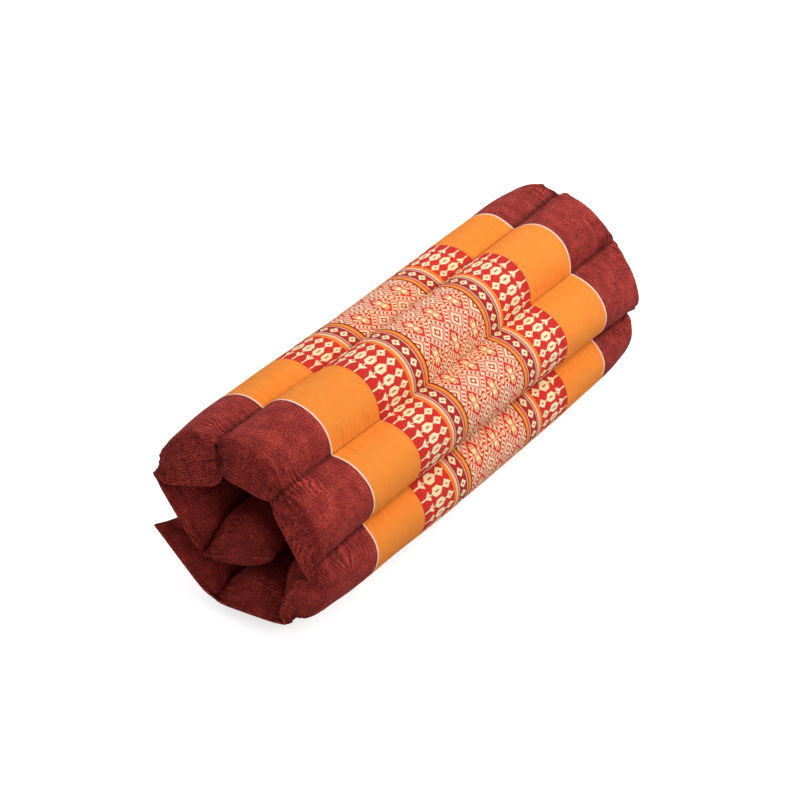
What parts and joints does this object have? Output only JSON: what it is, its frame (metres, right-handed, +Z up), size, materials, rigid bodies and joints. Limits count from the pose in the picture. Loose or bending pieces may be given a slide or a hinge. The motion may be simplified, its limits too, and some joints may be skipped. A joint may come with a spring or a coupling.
{
  "type": "rolled meditation cushion",
  "caption": "Roll-up meditation cushion: a quilted mat of filled channels, patterned woven cover outside and plain dark red backing inside, wound into an open roll lying on its side.",
  "frame": {"origin": "on the floor, at the middle of the bounding box's base", "axes": "+Y along the roll, away from the end that the picture shows; +X across the roll, to the right as seen from that end; +Z up"},
  "size_m": [0.1582, 0.4994, 0.1641],
  "materials": {
    "patterned_cover": "matte woven cotton in bands of dark red, orange, and red and cream pattern",
    "plain_backing": "matte dark red and black shot cotton",
    "seam_thread": "twisted sewing thread"
  },
  "bodies": {
    "root": {"rolled_cushion": "patterned_cover"}
  },
  "joints": []
}
